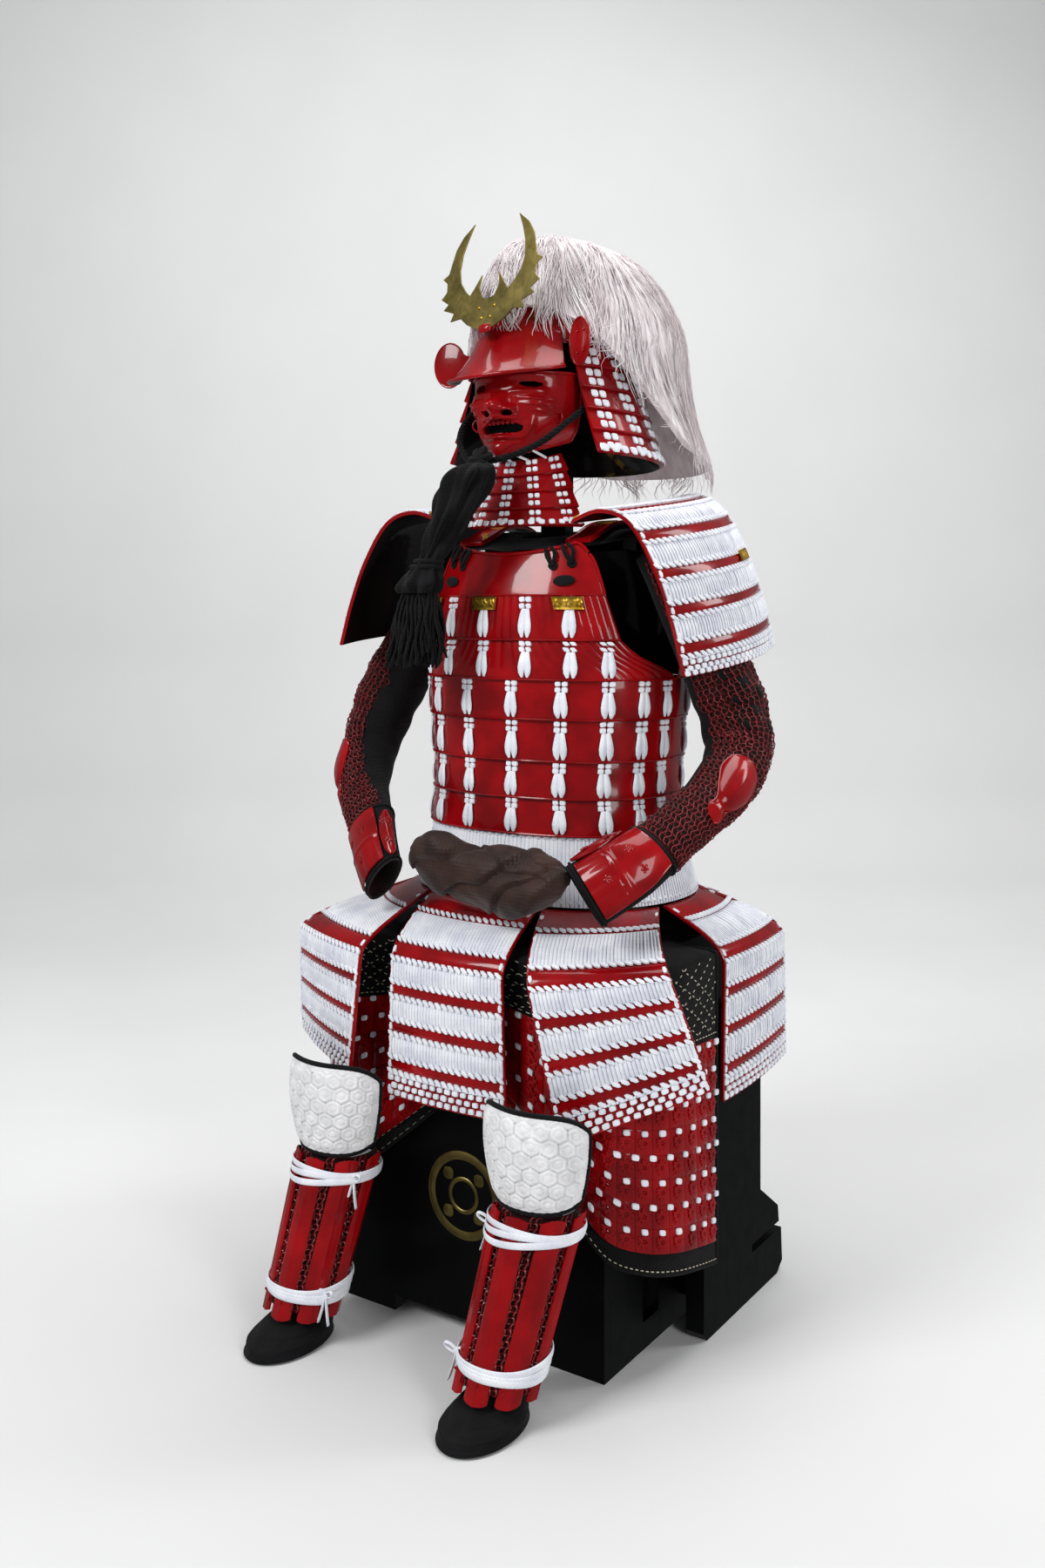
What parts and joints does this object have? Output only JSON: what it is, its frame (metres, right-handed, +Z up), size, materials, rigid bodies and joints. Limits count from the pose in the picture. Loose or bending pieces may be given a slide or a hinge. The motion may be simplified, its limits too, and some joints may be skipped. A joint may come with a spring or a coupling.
{
  "type": "samurai armour on its black storage box",
  "caption": "Red-lacquered, white-laced samurai armour with horned helmet and mask, seated on its black wooden storage box.",
  "frame": {"origin": "on the floor under the middle of the whole", "axes": "+Z up, -Y towards the front, +X to the wearer's left"},
  "size_m": [0.7062, 0.7802, 1.5982],
  "materials": {
    "lacquer": "glossy red lacquer over iron lames",
    "lacing": "dense white silk lacing, matte",
    "brass": "satin gilt plate",
    "mail": "red-brown mail sewn on cloth",
    "black_cloth": "black cotton",
    "sash_cloth": "dark brown silk",
    "quilt": "white quilted cloth in hexagons",
    "hair": "pale yak hair",
    "box_wood": "satin black lacquer on wood"
  },
  "bodies": {
    "root": {"box_front": "box_wood", "box_back": "box_wood", "box_side_left": "box_wood", "box_leg_left": "box_wood", "box_side_right": "box_wood", "box_leg_right": "box_wood", "box_floor": "box_wood", "box_lid": "box_wood", "stand_post": "box_wood", "breast_board": "lacquer", "chest_lame_1": "lacquer", "chest_lame_2": "lacquer", "waist_front_1": "lacquer", "waist_front_2": "lacquer", "waist_front_3": "lacquer", "waist_front_4": "lacquer", "back_board": "lacquer", "waist_back": "lacquer", "lacing_skirt": "lacing", "sleeve_yoke": "black_cloth", "strap_left": "lacquer", "strap_right": "lacquer", "helmet_bowl": "lacquer", "helmet_peak": "lacquer", "turnback_left": "lacquer", "turnback_right": "lacquer", "crest_horns": "brass", "neck_guard": "lacquer", "face_mask": "lacquer", "throat_guard": "lacquer", "hair_mane": "hair", "tasset_front": "lacing", "tasset_front_left": "lacing", "tasset_left": "lacing", "tasset_back_left": "lacing", "tasset_back_right": "lacing", "tasset_right": "lacing", "tasset_front_right": "lacing", "sode_left": "lacing", "sode_right": "lacing", "sleeve_left": "mail", "sleeve_right": "mail", "forearm_plate_left": "lacquer", "hand_plate_left": "lacquer", "thumb_plate_left": "lacquer", "forearm_plate_right": "lacquer", "hand_plate_right": "lacquer", "thumb_plate_right": "lacquer", "waist_sash": "sash_cloth", "thigh_guard_left": "lacquer", "thigh_guard_right": "lacquer", "knee_guard_left": "quilt", "shin_guard_left": "lacquer", "boot_left": "black_cloth", "knee_guard_right": "quilt", "shin_guard_right": "lacquer", "boot_right": "black_cloth", "chin_cord": "black_cloth", "chin_tassel": "black_cloth"}
  },
  "joints": []
}
